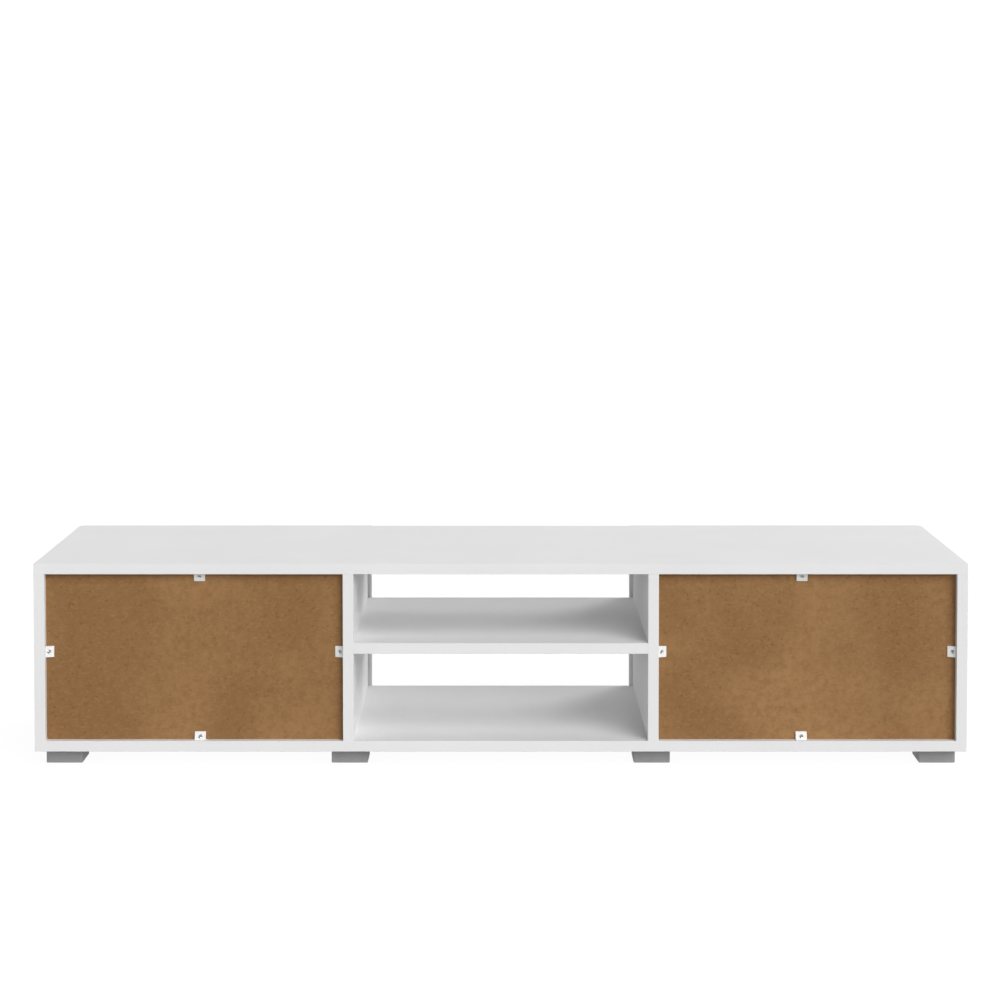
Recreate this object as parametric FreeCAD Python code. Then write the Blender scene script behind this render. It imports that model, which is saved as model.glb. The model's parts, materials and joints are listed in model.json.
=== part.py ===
"""Low TV stand: two cupboards with hinged doors either side of an open niche with a shelf.

Units are millimetres. +X is to the right as a person faces the doors, +Y runs to the rear and
+Z is up. The origin is on the floor, in the middle of the stand's width and depth.
"""

import FreeCAD, Part
import math
import os

from FreeCAD import Vector

# Overall size
WIDTH = 1400.0
DEPTH = 400.0
FOOT_HEIGHT = 25.0
INNER_HEIGHT = 252.0
BOARD = 16.0
EDGE_RADIUS = 0.5

# Niche and its shelf
NICHE_WIDTH = 442.0
LOWER_NICHE_HEIGHT = 132.0

# Doors, in front of the boards on every side
DOOR_GAP = 2.0
DOOR_REVEAL = 2.0
DOOR_GRIP = 6.0

# Hardboard backs, held in grooves by clips
BACK_THICKNESS = 3.0
BACK_RECESS = 12.0
BACK_IN_GROOVE = 6.0
GROOVE_CLEARANCE = 0.2
CLIP_WIDTH = 16.5
CLIP_REACH = 12.0
CLIP_DEPTH = 6.0
CLIP_TIP = 1.5
CLIP_OFFSET_X = 8.0
CLIP_SIDE_HEIGHT = 133.5
CLIP_SCREW_TILT = 35.0
CLIP_SCREW_STAND = 4.0
CLIP_SCREW_SINK = 1.2
CLIP_SCREW_RADIUS = 1.4
CLIP_SCREW_LENGTH = 14.0
CLIP_SCREW_HEAD = 2.7
CLIP_SCREW_RELIEF = 2.9

# Feet
FOOT_SIDE = 55.0
FOOT_INSET_END = 11.0
FOOT_INSET_DEPTH = 32.0
FOOT_WALL = 3.0
FOOT_SCREW_SPACING = 28.0

# Places of the joint fittings along the depth, from the middle of the boards
CAM_SPREAD = 110.0
DOWEL_SPREAD = 142.0
BASE_SCREW_SPREAD = 70.0

# Joint fittings
DOWEL_RADIUS = 4.0
DOWEL_IN_FACE = 10.5
DOWEL_IN_EDGE = 19.5
CAM_RADIUS = 7.5
CAM_DEPTH = 12.5
CAM_DISTANCE = 24.0
CAM_BOLT_BORE = 3.6
HOLE_FIT = 0.05

# Concealed hinges, seen from a door's outer edge (u, inwards) and its front face (v, rearwards)
HINGE_END_DISTANCE = 60.0
PIVOT_U = 5.5
PIVOT_V = 8.0
PIN_RADIUS = 0.8
PIN_HALF_LENGTH = 7.2
PIN_RUNNING_FIT = 0.05
KNUCKLE_RADIUS = 1.5
CUP_RADIUS = 17.5
CUP_WALL = 0.6
CUP_DEPTH = 12.5
CUP_EDGE_DISTANCE = 2.5
CUP_FLANGE = 1.0
CUP_SCREW_U = 30.0
CUP_SCREW_HALF_SPACING = 22.5
ARM_THICKNESS = 2.0
ARM_HALF_WIDTH = 4.6
ARM_REACH = 13.0
ARM_SLOPE = 8.0
PLATE_THICKNESS = 3.5
PLATE_WING = 2.0
PLATE_SCREW_LINE = 37.0
PLATE_SCREW_HALF_SPACING = 16.0
BUMPER_RADIUS = 4.0
BUMPER_HEIGHT = 1.7
BUMPER_END_DISTANCE = 34.0

# Places that follow from the sizes above
SIDE_X = WIDTH / 2.0
SIDE_INNER_X = SIDE_X - BOARD
NICHE_X = NICHE_WIDTH / 2.0
DIVIDER_BAY_X = NICHE_X + BOARD
DOOR_FRONT_Y = -DEPTH / 2.0
DOOR_REAR_Y = DOOR_FRONT_Y + BOARD
FRONT_Y = DOOR_REAR_Y + DOOR_GAP
REAR_Y = DEPTH / 2.0
MID_Y = (FRONT_Y + REAR_Y) / 2.0
BASE_Z = FOOT_HEIGHT
FLOOR_Z = BASE_Z + BOARD
CEILING_Z = FLOOR_Z + INNER_HEIGHT
TOP_Z = CEILING_Z + BOARD
SHELF_Z = FLOOR_Z + LOWER_NICHE_HEIGHT
SHELF_TOP_Z = SHELF_Z + BOARD
BACK_REAR_Y = REAR_Y - BACK_RECESS
BACK_FRONT_Y = BACK_REAR_Y - BACK_THICKNESS
DOOR_OUTER_X = SIDE_X - DOOR_REVEAL
DOOR_INNER_X = NICHE_X - DOOR_GRIP
DOOR_BASE_Z = BASE_Z + DOOR_REVEAL
DOOR_TOP_Z = TOP_Z - DOOR_REVEAL
HINGE_HEIGHTS = (DOOR_BASE_Z + HINGE_END_DISTANCE, DOOR_TOP_Z - HINGE_END_DISTANCE)
DIVIDER_MID_X = NICHE_X + BOARD / 2.0
SIDE_MID_X = SIDE_X - BOARD / 2.0
UPRIGHT_MIDDLES = (SIDE_MID_X, DIVIDER_MID_X)

RIGHT = Vector(1, 0, 0)
REARWARD = Vector(0, 1, 0)
UP = Vector(0, 0, 1)


# ---------------------------------------------------------------- shape helpers

def box(x, y, z):
    """A block between two corners, given as (low, high) along each axis."""
    return Part.makeBox(x[1] - x[0], y[1] - y[0], z[1] - z[0], Vector(x[0], y[0], z[0]))


def turned(outline):
    """A solid of revolution about Z, from (radius, height) points."""
    points = [Vector(radius, 0, height) for radius, height in outline]
    face = Part.Face(Part.makePolygon(points + points[:1]))
    return face.revolve(Vector(0, 0, 0), UP, 360)


def placed(shape, point, direction):
    """A copy moved so that its own origin is at the point and its own Z along the direction."""
    moved = shape.copy()
    moved.Placement = FreeCAD.Placement(point, FreeCAD.Rotation(UP, direction))
    return moved


def mirrored(shape):
    """The same shape on the stand's other side."""
    return shape.mirror(Vector(0, 0, 0), RIGHT)


def both_sides(shapes):
    """The shapes and their mirror images."""
    return shapes + [mirrored(shape) for shape in shapes]


def rounded(shape, radius, directions):
    """Rounds the straight edges that run along any of the directions."""
    edges = []
    for edge in shape.Edges:
        if edge.Curve.TypeId != "Part::GeomLine":
            continue
        if any(abs(edge.Curve.Direction.dot(way)) > 0.999 for way in directions):
            edges.append(edge)
    return shape.makeFillet(radius, edges)


def machined(shape, cutters):
    """Takes away every cutter that reaches the shape."""
    near = [cutter for cutter in cutters if cutter.BoundBox.intersect(shape.BoundBox)]
    return shape.cut(near) if near else shape


def cross_recess(size, depth):
    """A cross-head driver recess, cut down from Z = 0."""
    half = size / 2.0
    web = size / 5.0
    one = box((-half, half), (-web, web), (-depth, 1.0))
    other = box((-web, web), (-half, half), (-depth, 1.0))
    return one.fuse(other)


def hexagon_prism(across_flats, depth):
    """A hexagonal key recess, from Z = 0 downwards."""
    radius = across_flats / math.sqrt(3.0)
    corners = []
    for i in range(6):
        angle = math.radians(60 * i)
        corners.append(Vector(radius * math.cos(angle), radius * math.sin(angle), 0))
    face = Part.Face(Part.makePolygon(corners + corners[:1]))
    return face.extrude(Vector(0, 0, -depth))


# ---------------------------------------------------------------- fasteners
# Each is made about its own Z axis. Z = 0 is the surface that the head or the joint sits on,
# and -Z runs into the wood that the screw is driven into.

def pan_screw(head_radius, head_height, shank_radius, length):
    """A cross-head wood screw with a domed head above Z = 0."""
    outline = [
        (0, head_height),
        (head_radius * 0.6, head_height),
        (head_radius, head_height * 0.45),
        (head_radius, 0),
        (shank_radius, 0),
        (shank_radius, -length + 2.0 * shank_radius),
        (0, -length),
    ]
    recess = cross_recess(head_radius * 1.1, head_height * 0.6)
    recess.translate(Vector(0, 0, head_height))
    return turned(outline).cut(recess)


def pilot_hole(shank_radius, length, relief=0.0):
    """The hole for a pan screw, opened to a wider relief above Z = 0 if asked for."""
    hole = Part.makeCylinder(shank_radius + HOLE_FIT, length + 0.5, Vector(0, 0, -length - 0.5))
    if relief:
        hole = hole.fuse(Part.makeCylinder(relief, 40.0))
    return hole


def base_screw(grow=0.0):
    """A one-piece furniture screw: countersunk head, plain neck and thread."""
    outline = [
        (0, 0),
        (5.0 + grow, 0),
        (3.5 + grow, -3.0),
        (3.5 + grow, -BOARD),
        (3.1 + grow, -BOARD),
        (3.1 + grow, -46.0 - grow),
        (0, -50.0 - grow),
    ]
    return turned(outline)


def dowel():
    """A wooden dowel with chamfered ends; the joint plane is Z = 0 and the face board is at +Z."""
    outline = [
        (0, DOWEL_IN_FACE),
        (DOWEL_RADIUS - 1.0, DOWEL_IN_FACE),
        (DOWEL_RADIUS, DOWEL_IN_FACE - 1.0),
        (DOWEL_RADIUS, 1.0 - DOWEL_IN_EDGE),
        (DOWEL_RADIUS - 1.0, -DOWEL_IN_EDGE),
        (0, -DOWEL_IN_EDGE),
    ]
    return turned(outline)


def dowel_hole():
    """The hole for a dowel, half a millimetre deeper than it at both ends."""
    length = DOWEL_IN_FACE + DOWEL_IN_EDGE + 1.0
    return Part.makeCylinder(DOWEL_RADIUS + HOLE_FIT, length, Vector(0, 0, -DOWEL_IN_EDGE - 0.5))


def cam_bolt():
    """A cam bolt: threaded into the face board at +Z, its head in the cam at -Z."""
    outline = [
        (0, 11.0),
        (2.2, 11.0),
        (3.0, 10.0),
        (3.0, 0),
        (3.5, 0),
        (3.5, -1.2),
        (2.3, -1.2),
        (2.3, -CAM_DISTANCE + 2.5),
        (3.3, -CAM_DISTANCE + 1.5),
        (3.3, -CAM_DISTANCE - 1.5),
        (2.0, -CAM_DISTANCE - 2.8),
        (0, -CAM_DISTANCE - 2.8),
    ]
    return turned(outline)


def cam_bolt_hole():
    """The bore in the edge of one board and the pilot hole in the face of the other."""
    bore = Part.makeCylinder(CAM_BOLT_BORE, CAM_DISTANCE + 4.0, Vector(0, 0, -CAM_DISTANCE - 4.0))
    return bore.fuse(Part.makeCylinder(3.0 + HOLE_FIT, 11.5))


def cam_lock():
    """A cam lock in a board's face: Z = 0 is the face, and the bolt comes in along its own +Y."""
    body = Part.makeCylinder(CAM_RADIUS - HOLE_FIT, CAM_DEPTH - 0.1, Vector(0, 0, -CAM_DEPTH + 0.1))
    channel = Part.makeCylinder(CAM_BOLT_BORE, 14.0, Vector(0, -4.0, -BOARD / 2.0), REARWARD)
    return body.cut([channel, cross_recess(8.0, 1.8)])


def cam_pocket():
    """The round pocket for a cam lock."""
    return Part.makeCylinder(CAM_RADIUS, CAM_DEPTH + 0.2, Vector(0, 0, -CAM_DEPTH))


def oriented(shape, point, z_way, y_way):
    """Places a shape with its own Z and Y along two perpendicular directions."""
    x_way = y_way.cross(z_way)
    moved = shape.copy()
    moved.Placement = FreeCAD.Placement(point, FreeCAD.Rotation(x_way, y_way, z_way, "ZYX"))
    return moved


# ---------------------------------------------------------------- places of the fittings

def depth_pair(spread):
    """The front and rear places of a fitting, the same distance from the boards' middle."""
    return (MID_Y - spread, MID_Y + spread)


def top_joints(spread):
    """Points where the four uprights meet the top board, with the way into the top board."""
    points = []
    for x in UPRIGHT_MIDDLES:
        for y in depth_pair(spread):
            points.append((Vector(x, y, CEILING_Z), UP))
            points.append((Vector(-x, y, CEILING_Z), UP))
    return points


def base_joints(spread):
    """Points where the four uprights meet the bottom board, with the way into that board."""
    return [(Vector(point.x, point.y, FLOOR_Z), UP * -1) for point, _ in top_joints(spread)]


def shelf_joints(spread):
    """Points where the shelf meets the dividers, with the way into the divider."""
    points = []
    for y in depth_pair(spread):
        for side in (-1, 1):
            points.append((Vector(side * NICHE_X, y, SHELF_Z + BOARD / 2.0), RIGHT * side))
    return points


def all_cam_joints():
    return top_joints(CAM_SPREAD) + shelf_joints(CAM_SPREAD)


def all_dowel_joints():
    return top_joints(DOWEL_SPREAD) + base_joints(DOWEL_SPREAD) + shelf_joints(DOWEL_SPREAD)


def cam_places():
    """Each cam's place, the way its face looks, and the way to its bolt."""
    places = []
    for point, way in top_joints(CAM_SPREAD):
        side = math.copysign(1.0, point.x)
        outwards = -side if abs(point.x) > DIVIDER_BAY_X else side
        face = Vector(outwards, 0, 0)
        places.append((point - way * CAM_DISTANCE + face * (BOARD / 2.0), face, way))
    for point, way in shelf_joints(CAM_SPREAD):
        face = UP * -1
        places.append((point - way * CAM_DISTANCE + face * (BOARD / 2.0), face, way))
    return places


def foot_centres():
    """The middles of the eight feet: name and (x, y)."""
    outer = SIDE_X - FOOT_INSET_END - FOOT_SIDE / 2.0
    half_depth = (REAR_Y - FRONT_Y) / 2.0 - FOOT_INSET_DEPTH - FOOT_SIDE / 2.0
    columns = (
        ("left", -outer),
        ("middle_left", -DIVIDER_MID_X),
        ("middle_right", DIVIDER_MID_X),
        ("right", outer),
    )
    rows = (("front", MID_Y - half_depth), ("rear", MID_Y + half_depth))
    return [(f"{row}_{column}_foot", x, y) for row, y in rows for column, x in columns]


def clip_places():
    """Each clip of the right-hand back: a point on the board's surface, the way off that board."""
    middle = (DIVIDER_BAY_X + SIDE_INNER_X) / 2.0 - CLIP_OFFSET_X
    height = FLOOR_Z + CLIP_SIDE_HEIGHT
    return [
        (Vector(middle, BACK_REAR_Y, CEILING_Z), UP * -1),
        (Vector(middle, BACK_REAR_Y, FLOOR_Z), UP),
        (Vector(DIVIDER_BAY_X, BACK_REAR_Y, height), RIGHT),
        (Vector(SIDE_INNER_X, BACK_REAR_Y, height), RIGHT * -1),
    ]


def hinge_point(u, v, z):
    """A point on the right-hand door's hinge side, from the door's outer edge and front face."""
    return Vector(DOOR_OUTER_X - u, DOOR_FRONT_Y + v, z)


def hinge_box(u, v, z):
    """A block given by (low, high) along u, v and z of the right-hand hinge."""
    return box(
        (DOOR_OUTER_X - u[1], DOOR_OUTER_X - u[0]),
        (DOOR_FRONT_Y + v[0], DOOR_FRONT_Y + v[1]),
        z,
    )


# ---------------------------------------------------------------- boards

def long_board(z):
    """The top or the bottom board, over the whole width."""
    shape = box((-SIDE_X, SIDE_X), (FRONT_Y, REAR_Y), (z, z + BOARD))
    return rounded(shape, EDGE_RADIUS, (RIGHT, REARWARD, UP))


def upright(x):
    """A side panel or divider between the top and bottom boards."""
    shape = box((x, x + BOARD), (FRONT_Y, REAR_Y), (FLOOR_Z, CEILING_Z))
    return rounded(shape, EDGE_RADIUS, (UP,))


def shelf():
    """The fixed shelf between the dividers."""
    shape = box((-NICHE_X, NICHE_X), (FRONT_Y, REAR_Y), (SHELF_Z, SHELF_TOP_Z))
    return rounded(shape, EDGE_RADIUS, (RIGHT,))


def door():
    """The right-hand door's plain board."""
    shape = box(
        (DOOR_INNER_X, DOOR_OUTER_X), (DOOR_FRONT_Y, DOOR_REAR_Y), (DOOR_BASE_Z, DOOR_TOP_Z)
    )
    return rounded(shape, EDGE_RADIUS, (RIGHT, REARWARD, UP))


def back_panel(grow=0.0):
    """The right-hand hardboard back, let into the boards round it."""
    reach = BACK_IN_GROOVE + grow
    return box(
        (DIVIDER_BAY_X - reach, SIDE_INNER_X + reach),
        (BACK_FRONT_Y - grow, BACK_REAR_Y + grow),
        (FLOOR_Z - reach, CEILING_Z + reach),
    )


# ---------------------------------------------------------------- back clips

def clip_axis(point, off_board):
    """A clip screw's head point on the clip's slope, and the way out of the board."""
    tilt = math.radians(CLIP_SCREW_TILT)
    way = off_board * math.cos(tilt) + REARWARD * math.sin(tilt)
    fall = (CLIP_DEPTH - CLIP_TIP) / CLIP_REACH
    head = point + off_board * CLIP_SCREW_STAND
    return head + REARWARD * (CLIP_DEPTH - fall * CLIP_SCREW_STAND - CLIP_SCREW_SINK), way


def back_clip(point, off_board):
    """A plastic wedge that presses the back forwards, with a slanting screw hole."""
    along = off_board.cross(REARWARD)
    corners = [
        point,
        point + off_board * CLIP_REACH,
        point + off_board * CLIP_REACH + REARWARD * CLIP_TIP,
        point + REARWARD * CLIP_DEPTH,
    ]
    face = Part.Face(Part.makePolygon(corners + corners[:1]))
    face.translate(along * (-CLIP_WIDTH / 2.0))
    wedge = face.extrude(along * CLIP_WIDTH)
    wedge = rounded(wedge, 0.6, (REARWARD, off_board))
    seat, way = clip_axis(point, off_board)
    bore = pilot_hole(CLIP_SCREW_RADIUS, CLIP_SCREW_LENGTH, relief=CLIP_SCREW_RELIEF)
    return wedge.cut(placed(bore, seat, way))


# ---------------------------------------------------------------- feet

def foot(x, y):
    """A moulded block foot, hollow on top, with two screw posts counterbored from beneath."""
    half = FOOT_SIDE / 2.0
    block = box((x - half, x + half), (y - half, y + half), (0, FOOT_HEIGHT))
    block = rounded(block, 1.5, (UP,))
    base_edges = [edge for edge in block.Edges if edge.BoundBox.ZMax < 0.1]
    block = block.makeChamfer(0.8, base_edges)
    inner = half - FOOT_WALL
    hollow = box((x - inner, x + inner), (y - inner, y + inner), (FOOT_WALL, FOOT_HEIGHT))
    for place in foot_screw_places(x, y):
        post = Part.makeCylinder(7.0, FOOT_HEIGHT, Vector(place.x, place.y, 0))
        hollow = hollow.cut(post)
    rib = box((x - inner, x + inner), (y - 1.0, y + 1.0), (0, FOOT_HEIGHT))
    block = block.cut(hollow.cut(rib))
    for place in foot_screw_places(x, y):
        block = block.cut(Part.makeCylinder(2.2, FOOT_HEIGHT, Vector(place.x, place.y, 0)))
        block = block.cut(Part.makeCylinder(4.6, place.z, Vector(place.x, place.y, 0)))
    return block


def foot_screw_places(x, y):
    """The seats of a foot's two screw heads."""
    half = FOOT_SCREW_SPACING / 2.0
    return [Vector(x + side * half, y, FOOT_HEIGHT - 6.0) for side in (-1, 1)]


# ---------------------------------------------------------------- hinges

def hinge_cup(z):
    """The cup sunk in the door, its flange, and the cheeks that hold the pin."""
    centre_u = CUP_EDGE_DISTANCE + CUP_RADIUS
    bottom = hinge_point(centre_u, BOARD - CUP_DEPTH, z)
    shell = Part.makeCylinder(CUP_RADIUS - HOLE_FIT, CUP_DEPTH, bottom, REARWARD)
    mouth = hinge_point(centre_u, BOARD, z)
    flange = Part.makeCylinder(CUP_RADIUS + 1.0, CUP_FLANGE, mouth, REARWARD)
    reach = CUP_SCREW_HALF_SPACING + 6.0
    wings = hinge_box(
        (CUP_SCREW_U - 6.0, CUP_SCREW_U + 6.0),
        (BOARD, BOARD + CUP_FLANGE),
        (z - reach, z + reach),
    )
    wings = rounded(wings, 5.0, (REARWARD,))
    inside = bottom + REARWARD * CUP_WALL
    hollow = Part.makeCylinder(CUP_RADIUS - CUP_WALL, CUP_DEPTH + CUP_FLANGE, inside, REARWARD)
    gap = ARM_HALF_WIDTH + 0.3
    cheeks = []
    for low, high in ((-CUP_RADIUS, -gap), (gap, CUP_RADIUS)):
        cheeks.append(hinge_box((0, PIVOT_U + 4.5), (0, PIVOT_V + 4.0), (z + low, z + high)))
    hollow = hollow.cut(cheeks)
    cup = shell.fuse([flange, wings]).cut(hollow)
    screws = [
        placed(pilot_hole(1.75, 20.0), point, REARWARD) for point in cup_screw_places(z)
    ]
    return cup.cut(screws + [hinge_pin(z)])


def cup_recess(z):
    """The bore in the door for a hinge cup."""
    centre = hinge_point(CUP_EDGE_DISTANCE + CUP_RADIUS, BOARD - CUP_DEPTH - 0.2, z)
    return Part.makeCylinder(CUP_RADIUS, CUP_DEPTH + 5.0, centre, REARWARD)


def cup_screw_places(z):
    """The seats of the two screws that hold a cup's flange."""
    return [
        hinge_point(CUP_SCREW_U, BOARD + CUP_FLANGE, z + side * CUP_SCREW_HALF_SPACING)
        for side in (-1, 1)
    ]


def hinge_pin(z):
    """The pin that the arm turns on, fixed in the cup's cheeks."""
    start = hinge_point(PIVOT_U, PIVOT_V, z - PIN_HALF_LENGTH)
    return Part.makeCylinder(PIN_RADIUS, 2.0 * PIN_HALF_LENGTH, start)


def hinge_arm(z):
    """The bent arm: a neck that reaches into the cup and a channel that sits on the plate."""
    slope = math.tan(math.radians(ARM_SLOPE))
    half = ARM_THICKNESS / 2.0
    near_u = ARM_REACH - half
    far_u = ARM_REACH + half
    rear_v = 68.0
    outline = [
        (0, -half),
        (far_u, -slope * far_u - half),
        (far_u, rear_v),
        (near_u, rear_v),
        (near_u, -slope * near_u + half),
        (0, half),
    ]
    low_z = z - ARM_HALF_WIDTH
    points = [hinge_point(PIVOT_U + u, PIVOT_V + v, low_z) for u, v in outline]
    face = Part.Face(Part.makePolygon(points + points[:1]))
    strip = face.extrude(UP * (2.0 * ARM_HALF_WIDTH))
    outer_bend = hinge_point(PIVOT_U + far_u, PIVOT_V - slope * far_u - half, z)
    bends = [e for e in strip.Edges if e.CenterOfMass.distanceToPoint(outer_bend) < 0.1]
    strip = strip.makeFillet(2.4, bends)
    centre = hinge_point(PIVOT_U, PIVOT_V, low_z)
    knuckle = Part.makeCylinder(KNUCKLE_RADIUS, 2.0 * ARM_HALF_WIDTH, centre)
    channel_u = (BOARD - DOOR_REVEAL + PLATE_WING + 0.1, PIVOT_U + far_u)
    channel_v = (BOARD + DOOR_GAP + 14.0, PIVOT_V + rear_v)
    outside = hinge_box(channel_u, channel_v, (z - 9.2, z + 9.2))
    outside = rounded(outside, 1.0, (REARWARD,))
    inside = hinge_box((0, PIVOT_U + near_u), channel_v, (z - 7.8, z + 7.8))
    arm = strip.fuse([knuckle, outside.cut(inside)])
    bore = Part.makeCylinder(PIN_RADIUS + PIN_RUNNING_FIT, 2.0 * ARM_HALF_WIDTH, centre)
    screws = [placed(pilot_hole(2.2, 20.0), seat, RIGHT * -1) for seat in arm_screw_places(z)]
    return arm.cut([bore] + screws).removeSplitter()


def arm_screw_places(z):
    """The seats of the two screws on an arm's back: side adjustment, then fixing."""
    u = PIVOT_U + ARM_REACH + ARM_THICKNESS / 2.0
    return [hinge_point(u, v, z) for v in (42.0, 68.0)]


def hinge_plate(z):
    """The mounting plate on the side panel: a raised body with two screw wings."""
    plate_u = BOARD - DOOR_REVEAL
    line_v = BOARD + DOOR_GAP + PLATE_SCREW_LINE
    body = hinge_box(
        (plate_u, plate_u + PLATE_THICKNESS), (line_v - 17.0, line_v + 19.0), (z - 7.6, z + 7.6)
    )
    wings = hinge_box((plate_u, plate_u + PLATE_WING), (line_v - 8.0, line_v + 8.0), (z - 23.0, z + 23.0))
    wings = rounded(wings, 4.0, (RIGHT,))
    plate = body.fuse(wings)
    holes = [placed(pilot_hole(3.0, 20.0), seat, RIGHT * -1) for seat in plate_screw_places(z)]
    holes += [placed(pilot_hole(2.2, 20.0), seat, RIGHT * -1) for seat in arm_screw_places(z)]
    return plate.cut(holes).removeSplitter()


def plate_screw_places(z):
    """The seats of the two screws that hold a mounting plate."""
    u = BOARD - DOOR_REVEAL + PLATE_WING
    v = BOARD + DOOR_GAP + PLATE_SCREW_LINE
    return [hinge_point(u, v, z + side * PLATE_SCREW_HALF_SPACING) for side in (-1, 1)]


def door_bumper(z):
    """A soft dot on the door's rear face, opposite the divider's front edge."""
    outline = [
        (0, 0),
        (BUMPER_RADIUS, 0),
        (BUMPER_RADIUS, BUMPER_HEIGHT * 0.45),
        (BUMPER_RADIUS * 0.6, BUMPER_HEIGHT),
        (0, BUMPER_HEIGHT),
    ]
    return placed(turned(outline), Vector(DIVIDER_MID_X, DOOR_REAR_Y, z), REARWARD)


# ---------------------------------------------------------------- the whole stand

def joint_fittings():
    """Dowels, cams, cam bolts and base screws, by node name, and the holes for them all."""
    nodes = {
        "wooden_dowels": [placed(dowel(), *joint) for joint in all_dowel_joints()],
        "cam_bolts": [placed(cam_bolt(), *joint) for joint in all_cam_joints()],
        "cam_locks": [oriented(cam_lock(), *place) for place in cam_places()],
        "base_screws": [],
    }
    holes = [placed(dowel_hole(), *joint) for joint in all_dowel_joints()]
    holes += [placed(cam_bolt_hole(), *joint) for joint in all_cam_joints()]
    holes += [oriented(cam_pocket(), *place) for place in cam_places()]
    screw = base_screw().cut(hexagon_prism(4.0, 3.0))
    for joint, way in base_joints(BASE_SCREW_SPREAD):
        head = joint + way * BOARD
        nodes["base_screws"].append(placed(screw, head, way))
        holes.append(placed(base_screw(HOLE_FIT), head, way))
    return nodes, holes


def back_fittings():
    """Clips and clip screws of both backs, and the holes for the screws.

    Each screw slants forwards through the back's edge into the board behind its groove.
    """
    clips = [back_clip(*place) for place in clip_places()]
    screw = pan_screw(CLIP_SCREW_HEAD, 1.4, CLIP_SCREW_RADIUS, CLIP_SCREW_LENGTH)
    hole = pilot_hole(CLIP_SCREW_RADIUS, CLIP_SCREW_LENGTH)
    screws = [placed(screw, *clip_axis(*place)) for place in clip_places()]
    holes = [placed(hole, *clip_axis(*place)) for place in clip_places()]
    nodes = {
        "left_back_clips": [mirrored(clip) for clip in clips],
        "right_back_clips": clips,
        "back_clip_screws": both_sides(screws),
    }
    return nodes, both_sides(holes)


def feet():
    """The eight feet, their screws, and the holes for the screws."""
    nodes = {"foot_screws": []}
    holes = []
    for name, x, y in foot_centres():
        nodes[name] = [foot(x, y)]
        for seat in foot_screw_places(x, y):
            nodes["foot_screws"].append(placed(pan_screw(3.8, 2.6, 2.0, 17.0), seat, UP * -1))
            holes.append(placed(pilot_hole(2.0, 17.0), seat, UP * -1))
    return nodes, holes


def hinge_nodes():
    """The right-hand hinges' pieces by name, and the holes for them."""
    cup_screw = pan_screw(3.2, 1.6, 1.75, 12.0)
    plate_screw = pan_screw(4.0, 2.2, 3.0, 13.0)
    arm_screw = pan_screw(3.6, 1.8, 2.2, 5.0)
    pieces = {
        "hinge_cups": [hinge_cup(z) for z in HINGE_HEIGHTS],
        "hinge_pins": [hinge_pin(z) for z in HINGE_HEIGHTS],
        "hinge_arms": [hinge_arm(z) for z in HINGE_HEIGHTS],
        "hinge_plates": [hinge_plate(z) for z in HINGE_HEIGHTS],
        "hinge_cup_screws": [],
        "hinge_plate_screws": [],
        "hinge_arm_screws": [],
    }
    holes = [cup_recess(z) for z in HINGE_HEIGHTS]
    for z in HINGE_HEIGHTS:
        for seat in cup_screw_places(z):
            pieces["hinge_cup_screws"].append(placed(cup_screw, seat, REARWARD))
            holes.append(placed(pilot_hole(1.75, 12.0), seat, REARWARD))
        for seat in plate_screw_places(z):
            pieces["hinge_plate_screws"].append(placed(plate_screw, seat, RIGHT * -1))
            holes.append(placed(pilot_hole(3.0, 13.0), seat, RIGHT * -1))
        for seat in arm_screw_places(z):
            pieces["hinge_arm_screws"].append(placed(arm_screw, seat, RIGHT * -1))
    return pieces, holes


def stand():
    """Every node of the stand: its name and its list of solids."""
    nodes, cutters = joint_fittings()
    for fittings, holes in (back_fittings(), feet()):
        nodes.update(fittings)
        cutters += holes
    hinges, hinge_holes = hinge_nodes()
    cutters += both_sides(hinge_holes)
    grooves = both_sides([back_panel(GROOVE_CLEARANCE)])
    boards = {
        "top_board": long_board(CEILING_Z),
        "bottom_board": long_board(BASE_Z),
        "left_side_panel": upright(-SIDE_X),
        "right_side_panel": upright(SIDE_INNER_X),
        "left_divider": upright(-DIVIDER_BAY_X),
        "right_divider": upright(NICHE_X),
        "niche_shelf": shelf(),
    }
    for name, board in boards.items():
        nodes[name] = [machined(board, cutters + grooves)]
    bumper_heights = (DOOR_BASE_Z + BUMPER_END_DISTANCE, DOOR_TOP_Z - BUMPER_END_DISTANCE)
    hinges["door"] = [machined(door(), hinge_holes)]
    hinges["door_bumpers"] = [door_bumper(z) for z in bumper_heights]
    hinges["back_panel"] = [machined(back_panel(), cutters)]
    for name, solids in hinges.items():
        nodes["right_" + name] = solids
        nodes["left_" + name] = [mirrored(solid) for solid in solids]
    return nodes


def write(nodes):
    """One STEP file for each node."""
    os.makedirs("parts", exist_ok=True)
    for name, solids in sorted(nodes.items()):
        shape = solids[0] if len(solids) == 1 else Part.makeCompound(solids)
        shape.exportStep(os.path.join("parts", name + ".step"))


write(stand())
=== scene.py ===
"""Looks of the low TV stand: materials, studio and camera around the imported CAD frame, in metres."""

import json
import math

import bmesh
import bpy
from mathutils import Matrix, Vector

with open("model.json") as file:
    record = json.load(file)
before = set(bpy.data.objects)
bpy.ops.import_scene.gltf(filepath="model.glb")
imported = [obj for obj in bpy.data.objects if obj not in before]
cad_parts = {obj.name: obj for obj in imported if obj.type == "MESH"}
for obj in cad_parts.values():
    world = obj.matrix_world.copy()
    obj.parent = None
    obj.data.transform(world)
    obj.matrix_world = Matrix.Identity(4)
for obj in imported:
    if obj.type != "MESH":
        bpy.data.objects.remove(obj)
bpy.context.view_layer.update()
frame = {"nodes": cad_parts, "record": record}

MICRON = 1e-6
WHITE = (1.0, 1.0, 1.0)

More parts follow.
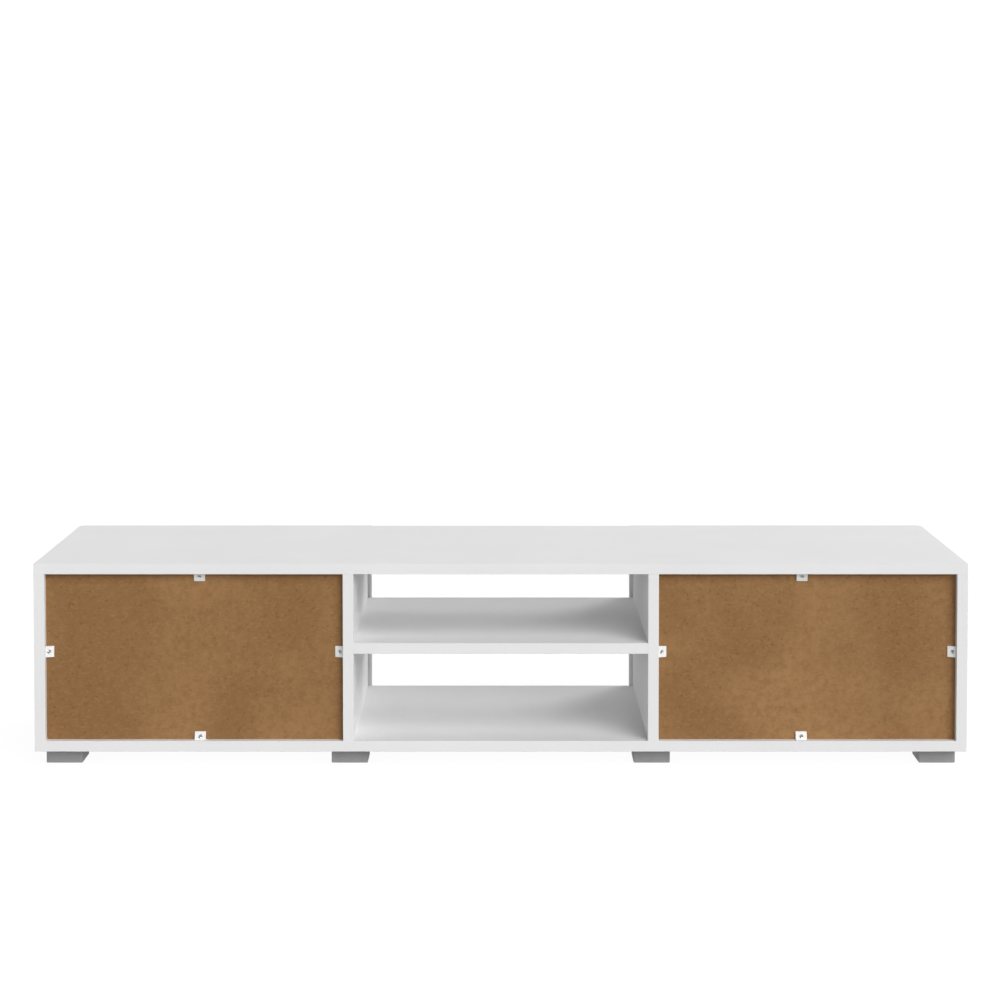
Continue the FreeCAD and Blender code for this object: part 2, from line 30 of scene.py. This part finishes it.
# Strength of the glow from the floor, from all round the horizon, and from the wall that the doors face
FLOOR_GLOW = 0.37
HORIZON_GLOW = 1.07
FRONT_GLOW = 0.74
# Soft upper edges of the horizon's and the wall's glow: the sines of elevation where it is gone and full
HORIZON_EDGE = (0.42, 0.28)
WALL_EDGE = (0.85, 0.65)
# How far the light blends to each side of where the wall starts and of the horizon, as sines
WALL_BLEND = 0.1
HORIZON_BLEND = 0.03

# The studio floor lies just under the feet, so that the two don't share a plane
FLOOR_LEVEL = -0.0008
FLOOR_REACH = 60.0
DOME_RADIUS = 54.0

# The photo's camera: lens in millimetres, shift in picture widths, place, and degrees that it looks down
LENS = 82.355
SENSOR_WIDTH = 36.0
LENS_SHIFT = (0.0022, -0.2208)
CAMERA_PLACE = (0.0045, 3.6052, 0.8754)
CAMERA_DIP = 2.354


# ---------------------------------------------------------------- node helpers

class Tree:
    """A node tree, with short ways to add and join its nodes."""

    def __init__(self, tree):
        self.tree = tree
        self.coordinates = self.add("ShaderNodeTexCoord")

    def add(self, kind, **values):
        """A node, with each named property or input set."""
        node = self.tree.nodes.new(kind)
        for key, value in values.items():
            if hasattr(node, key):
                setattr(node, key, value)
            else:
                node.inputs[key].default_value = value
        return node

    def link(self, source, target):
        """Joins an output to an input."""
        self.tree.links.new(source, target)

    def feed(self, socket, value):
        """Links a socket to a node's output, or sets it to a plain value."""
        if isinstance(value, bpy.types.NodeSocket):
            self.link(value, socket)
        elif isinstance(value, tuple):
            socket.default_value = (*value, 1.0)
        else:
            socket.default_value = value

    def split(self, vector):
        """The X, Y and Z outputs of a vector."""
        node = self.add("ShaderNodeSeparateXYZ")
        self.link(vector, node.inputs["Vector"])
        return node.outputs

    def maths(self, operation, first, second):
        """An operation on two numbers; each is a socket or a plain value."""
        node = self.add("ShaderNodeMath", operation=operation)
        self.feed(node.inputs[0], first)
        self.feed(node.inputs[1], second)
        return node.outputs[0]

    def scale(self, value, factor):
        """A value times a factor."""
        return self.maths("MULTIPLY", value, factor)

    def smooth(self, value, start, end):
        """A smooth step from 0 at the start to 1 at the end; the start may be the larger."""
        low, high = min(start, end), max(start, end)
        node = self.add("ShaderNodeMapRange", interpolation_type="SMOOTHSTEP")
        node.inputs["From Min"].default_value = low
        node.inputs["From Max"].default_value = high
        node.inputs["To Min"].default_value = float(start > end)
        node.inputs["To Max"].default_value = float(start < end)
        self.link(value, node.inputs["Value"])
        return node.outputs["Result"]

    def span(self, value, low, high):
        """Maps a value from 0..1 to low..high."""
        node = self.add("ShaderNodeMapRange")
        node.inputs["To Min"].default_value = low
        node.inputs["To Max"].default_value = high
        self.link(value, node.inputs["Value"])
        return node.outputs["Result"]

    def mix(self, factor, first, second, kind="RGBA"):
        """Two colours mixed, or two numbers if kind is FLOAT; each value is a socket or a plain one."""
        node = self.add("ShaderNodeMix", data_type=kind)
        # Where the node keeps its two values and its result, for each kind
        first_place, second_place, result = (6, 7, 2) if kind == "RGBA" else (2, 3, 0)
        for place, value in ((0, factor), (first_place, first), (second_place, second)):
            self.feed(node.inputs[place], value)
        return node.outputs[result]


class Material(Tree):
    """A material's node tree, with its textures in object coordinates."""

    def __init__(self, name):
        self.material = bpy.data.materials.new(name)
        self.material.use_nodes = True
        super().__init__(self.material.node_tree)
        self.shader = self.tree.nodes["Principled BSDF"]

    def scaled(self, scale):
        """Object coordinates times a scale along each axis."""
        mapping = self.add("ShaderNodeMapping")
        mapping.inputs["Scale"].default_value = scale
        self.link(self.coordinates.outputs["Object"], mapping.inputs["Vector"])
        return mapping.outputs["Vector"]

    def noise(self, scale, detail=3.0, roughness=0.55, stretch=(1, 1, 1), distortion=0.0):
        """A noise value from 0 to 1, in features per metre."""
        node = self.add("ShaderNodeTexNoise", Scale=scale, Detail=detail, Roughness=roughness,
                        Distortion=distortion)
        self.link(self.scaled(stretch), node.inputs["Vector"])
        return node.outputs["Fac"]

    def specks(self, scale, size):
        """Scattered specks, 1 in a speck's middle and 0 outside, in cells per metre; size is in cells."""
        node = self.add("ShaderNodeTexVoronoi", Scale=scale, Randomness=1.0)
        self.link(self.coordinates.outputs["Object"], node.inputs["Vector"])
        return self.smooth(node.outputs["Distance"], size, 0.3 * size)

    def ramp(self, value, stops):
        """A colour or grey ramp over a value, with two stops of (position, colour or grey)."""
        node = self.add("ShaderNodeValToRGB")
        for element, (position, colour) in zip(node.color_ramp.elements, stops):
            element.position = position
            if isinstance(colour, float):
                colour = (colour, colour, colour)
            element.color = (*colour, 1.0)
        self.link(value, node.inputs["Fac"])
        return node.outputs["Color"]

    def bump(self, heights):
        """Bumps one on another; each is (value, depth in metres)."""
        normal = None
        for height, depth in heights:
            node = self.add("ShaderNodeBump", Distance=depth, Strength=1.0)
            self.link(height, node.inputs["Height"])
            if normal:
                self.link(normal, node.inputs["Normal"])
            normal = node.outputs["Normal"]
        self.link(normal, self.shader.inputs["Normal"])

    def finish(self, colour, roughness, **values):
        """Joins the colour and roughness and sets the shader's other sockets."""
        self.feed(self.shader.inputs["Base Color"], colour)
        self.feed(self.shader.inputs["Roughness"], roughness)
        for key, value in values.items():
            self.shader.inputs[key.replace("_", " ")].default_value = value
        return self.material


# ---------------------------------------------------------------- materials

def white_melamine():
    """Melamine facing: near-white with a faint cloud and a fine pearl texture."""
    nodes = Material("white_melamine")
    cloud = nodes.noise(6.0, detail=4.0)
    speck = nodes.noise(700.0, detail=2.0)
    base = nodes.ramp(cloud, [(0.3, 0.790), (0.7, 0.815)])
    colour = nodes.mix(nodes.span(speck, 0.0, 0.05), base, (0.75, 0.75, 0.755))
    pearl = nodes.noise(1100.0, detail=2.0, roughness=0.6)
    nodes.bump([(pearl, 25 * MICRON)])
    return nodes.finish(colour, nodes.span(cloud, 0.54, 0.64), Specular_IOR_Level=0.14)


def brown_hardboard():
    """Bare hardboard: pressed brown fibres in broad soft patches with small darker flecks.

    Its inner face, towards the doors, is painted white.
    """
    deep_brown, warm_brown = (0.262, 0.132, 0.048), (0.352, 0.192, 0.077)
    mottle_brown, fleck_brown = (0.222, 0.110, 0.038), (0.130, 0.062, 0.022)
    pale_fibre, dark_fibre = (0.410, 0.240, 0.105), (0.205, 0.102, 0.037)
    white_paint = (0.78, 0.78, 0.78)
    nodes = Material("brown_hardboard")
    broad = nodes.noise(7.0, detail=1.0, roughness=0.5, distortion=0.6)
    mottle = nodes.noise(75.0, detail=5.0, roughness=0.7)
    lying = nodes.noise(260.0, detail=4.0, roughness=0.7, stretch=(0.55, 1.0, 1.0))
    standing = nodes.noise(260.0, detail=4.0, roughness=0.7, stretch=(1.0, 1.0, 0.55))
    flecks = nodes.maths("MULTIPLY", nodes.specks(110.0, size=0.26), nodes.smooth(broad, 0.60, 0.36))
    base = nodes.ramp(broad, [(0.30, deep_brown), (0.70, warm_brown)])
    colour = nodes.mix(nodes.ramp(mottle, [(0.42, 0.0), (0.72, 0.75)]), base, mottle_brown)
    colour = nodes.mix(nodes.ramp(lying, [(0.50, 0.0), (0.78, 0.5)]), colour, pale_fibre)
    colour = nodes.mix(nodes.ramp(standing, [(0.55, 0.0), (0.80, 0.55)]), colour, dark_fibre)
    colour = nodes.mix(nodes.scale(flecks, 0.45), colour, fleck_brown)
    facing = nodes.split(nodes.coordinates.outputs["Normal"])
    towards_doors = nodes.maths("LESS_THAN", facing["Y"], -0.5)
    colour = nodes.mix(towards_doors, colour, white_paint)
    nodes.bump([(lying, 100 * MICRON), (standing, 100 * MICRON), (mottle, 200 * MICRON)])
    return nodes.finish(colour, nodes.span(mottle, 0.62, 0.78), Specular_IOR_Level=0.25)


def moulded_plastic(name, dark, light, roughness, texture_depth):
    """Moulded plastic with a fine spark-eroded texture and a slight flow marbling."""
    nodes = Material(name)
    flow = nodes.noise(35.0, detail=2.0, distortion=1.2)
    grain = nodes.noise(1800.0, detail=2.0, roughness=0.6)
    colour = nodes.ramp(flow, [(0.3, dark), (0.7, light)])
    nodes.bump([(grain, texture_depth)])
    return nodes.finish(colour, nodes.span(grain, roughness - 0.06, roughness + 0.08))


def plated_metal(name, dark, light, roughness, grain_scale):
    """Plated metal with a faint stain and fine scratches that break up its shine."""
    nodes = Material(name)
    stain = nodes.noise(90.0, detail=4.0)
    grain = nodes.noise(grain_scale, detail=3.0, stretch=(1.0, 1.0, 0.2))
    colour = nodes.ramp(stain, [(0.3, dark), (0.7, light)])
    nodes.bump([(grain, 10 * MICRON)])
    return nodes.finish(colour, nodes.span(grain, roughness - 0.08, roughness + 0.12), Metallic=1.0)


def beech():
    """Turned beech: fine straight grain with short pores."""
    nodes = Material("beech")
    grain = nodes.noise(600.0, detail=3.0, stretch=(1.0, 1.0, 0.12))
    pores = nodes.noise(1500.0, detail=1.0, stretch=(1.0, 1.0, 0.2))
    base = nodes.ramp(grain, [(0.3, (0.52, 0.33, 0.17)), (0.7, (0.66, 0.45, 0.26))])
    colour = nodes.mix(nodes.ramp(pores, [(0.62, 0.0), (0.72, 0.5)]), base, (0.36, 0.21, 0.10))
    nodes.bump([(grain, 40 * MICRON)])
    return nodes.finish(colour, nodes.span(grain, 0.55, 0.7))


def clear_rubber():
    """A soft, milky translucent dot."""
    nodes = Material("clear_rubber")
    haze = nodes.noise(400.0, detail=2.0)
    colour = nodes.ramp(haze, [(0.3, (0.72, 0.72, 0.70)), (0.7, (0.80, 0.80, 0.78))])
    nodes.bump([(haze, 20 * MICRON)])
    return nodes.finish(colour, nodes.span(haze, 0.28, 0.4), Transmission_Weight=0.35, IOR=1.42)


def materials():
    """One material for each of the record's slots."""
    return {
        "white_melamine": white_melamine(),
        "brown_hardboard": brown_hardboard(),
        "grey_plastic": moulded_plastic(
            "grey_plastic", dark=0.345, light=0.375, roughness=0.5, texture_depth=40 * MICRON),
        "white_plastic": moulded_plastic(
            "white_plastic", dark=(0.84, 0.84, 0.83), light=(0.88, 0.88, 0.87), roughness=0.42,
            texture_depth=20 * MICRON),
        "zinc_steel": plated_metal(
            "zinc_steel", dark=(0.52, 0.53, 0.54), light=(0.66, 0.67, 0.66), roughness=0.32,
            grain_scale=900.0),
        "nickel_steel": plated_metal(
            "nickel_steel", dark=(0.72, 0.71, 0.68), light=(0.77, 0.76, 0.73), roughness=0.24,
            grain_scale=1400.0),
        "cast_zinc": plated_metal(
            "cast_zinc", dark=(0.42, 0.43, 0.44), light=0.55, roughness=0.45, grain_scale=500.0),
        "beech": beech(),
        "clear_rubber": clear_rubber(),
    }


def dress_nodes():
    """Gives every CAD node its slot's material."""
    of_slot = materials()
    for row in frame["record"]["subparts"]:
        piece = frame["nodes"][row["node"]]
        piece.data.materials.clear()
        piece.data.materials.append(of_slot[row["material_slot"]])


# ---------------------------------------------------------------- studio

def staged(name, mesh, material):
    """An object of the studio: the camera sees it, but it neither lights the stand nor shines in it."""
    mesh.materials.append(material)
    item = bpy.data.objects.new(name, mesh)
    bpy.context.scene.collection.objects.link(item)
    item.visible_diffuse = False
    item.visible_glossy = False
    item.visible_shadow = False


def studio_paper(name, glow, shade):
    """White paper, lit from behind, that takes only a faint shadow."""
    nodes = Material(name)
    cloud = nodes.noise(3.0, detail=2.0)
    colour = nodes.ramp(cloud, [(0.3, shade), (0.7, 1.1 * shade)])
    return nodes.finish(colour, roughness=0.9, Specular_IOR_Level=0.0, Emission_Color=(*WHITE, 1.0),
                    Emission_Strength=glow)


def studio_floor():
    """A plain pale floor, far larger than the stand."""
    far = FLOOR_REACH
    corners = [(x, y, FLOOR_LEVEL) for x, y in ((-far, -far), (far, -far), (far, far), (-far, far))]
    floor = bpy.data.meshes.new("studio_floor")
    floor.from_pydata(corners, [], [(0, 1, 2, 3)])
    staged("studio_floor", floor, studio_paper("studio_floor", glow=0.95, shade=0.08))


def studio_backdrop():
    """A plain pale dome over the floor."""
    dome = bmesh.new()
    bmesh.ops.create_icosphere(dome, subdivisions=4, radius=DOME_RADIUS)
    backdrop = bpy.data.meshes.new("studio_backdrop")
    dome.to_mesh(backdrop)
    dome.free()
    staged("studio_backdrop", backdrop, studio_paper("studio_backdrop", glow=1.0, shade=0.02))


def lamp(name, azimuth, elevation, spread, strength):
    """A far, wide, soft lamp, in degrees; azimuth 0 is behind the stand, and 90 is on its left, at -X."""
    turn, rise = math.radians(azimuth), math.radians(elevation)
    way = Vector((-math.sin(turn) * math.cos(rise), math.cos(turn) * math.cos(rise), math.sin(rise)))
    data = bpy.data.lights.new(name, "SUN")
    data.angle = math.radians(spread)
    data.energy = strength
    item = bpy.data.objects.new(name, data)
    item.rotation_euler = way.to_track_quat("Z", "Y").to_euler()
    bpy.context.scene.collection.objects.link(item)


def surroundings():
    """The light of a white room: pale walls all round, a bright front wall and a dimmer floor."""
    world = bpy.data.worlds.new("surroundings")
    world.use_nodes = True
    nodes = Tree(world.node_tree)
    direction = nodes.split(nodes.coordinates.outputs["Generated"])
    low = nodes.smooth(direction["Z"], *HORIZON_EDGE)
    middle = nodes.maths("SUBTRACT", nodes.smooth(direction["Z"], *WALL_EDGE), low)
    front = nodes.maths("MULTIPLY", nodes.smooth(direction["Y"], WALL_BLEND, -WALL_BLEND), middle)
    above = nodes.maths("ADD", nodes.scale(low, HORIZON_GLOW), nodes.scale(front, FRONT_GLOW))
    below = nodes.smooth(direction["Z"], HORIZON_BLEND, -HORIZON_BLEND)
    background = world.node_tree.nodes["Background"]
    background.inputs["Color"].default_value = (*WHITE, 1.0)
    nodes.link(nodes.mix(below, above, FLOOR_GLOW, kind="FLOAT"), background.inputs["Strength"])
    bpy.context.scene.world = world


def studio():
    """Soft surroundings, a key light behind the stand, a weaker one in front, a floor and a backdrop."""
    surroundings()
    bpy.context.scene.view_settings.view_transform = "Standard"
    lamp("key", azimuth=30.0, elevation=34.0, spread=45.0, strength=2.45)
    lamp("front_fill", azimuth=145.0, elevation=24.0, spread=28.0, strength=1.44)
    studio_floor()
    studio_backdrop()


def camera():
    """The camera behind the stand, slightly above it, with a lens shift that keeps uprights upright."""
    data = bpy.data.cameras.new("camera")
    data.lens = LENS
    data.sensor_width = SENSOR_WIDTH
    data.shift_x, data.shift_y = LENS_SHIFT
    view = bpy.data.objects.new("camera", data)
    view.location = CAMERA_PLACE
    view.rotation_euler = (math.radians(90.0 - CAMERA_DIP), 0.0, math.radians(180.0))
    bpy.context.scene.collection.objects.link(view)
    bpy.context.scene.camera = view


dress_nodes()
studio()
camera()
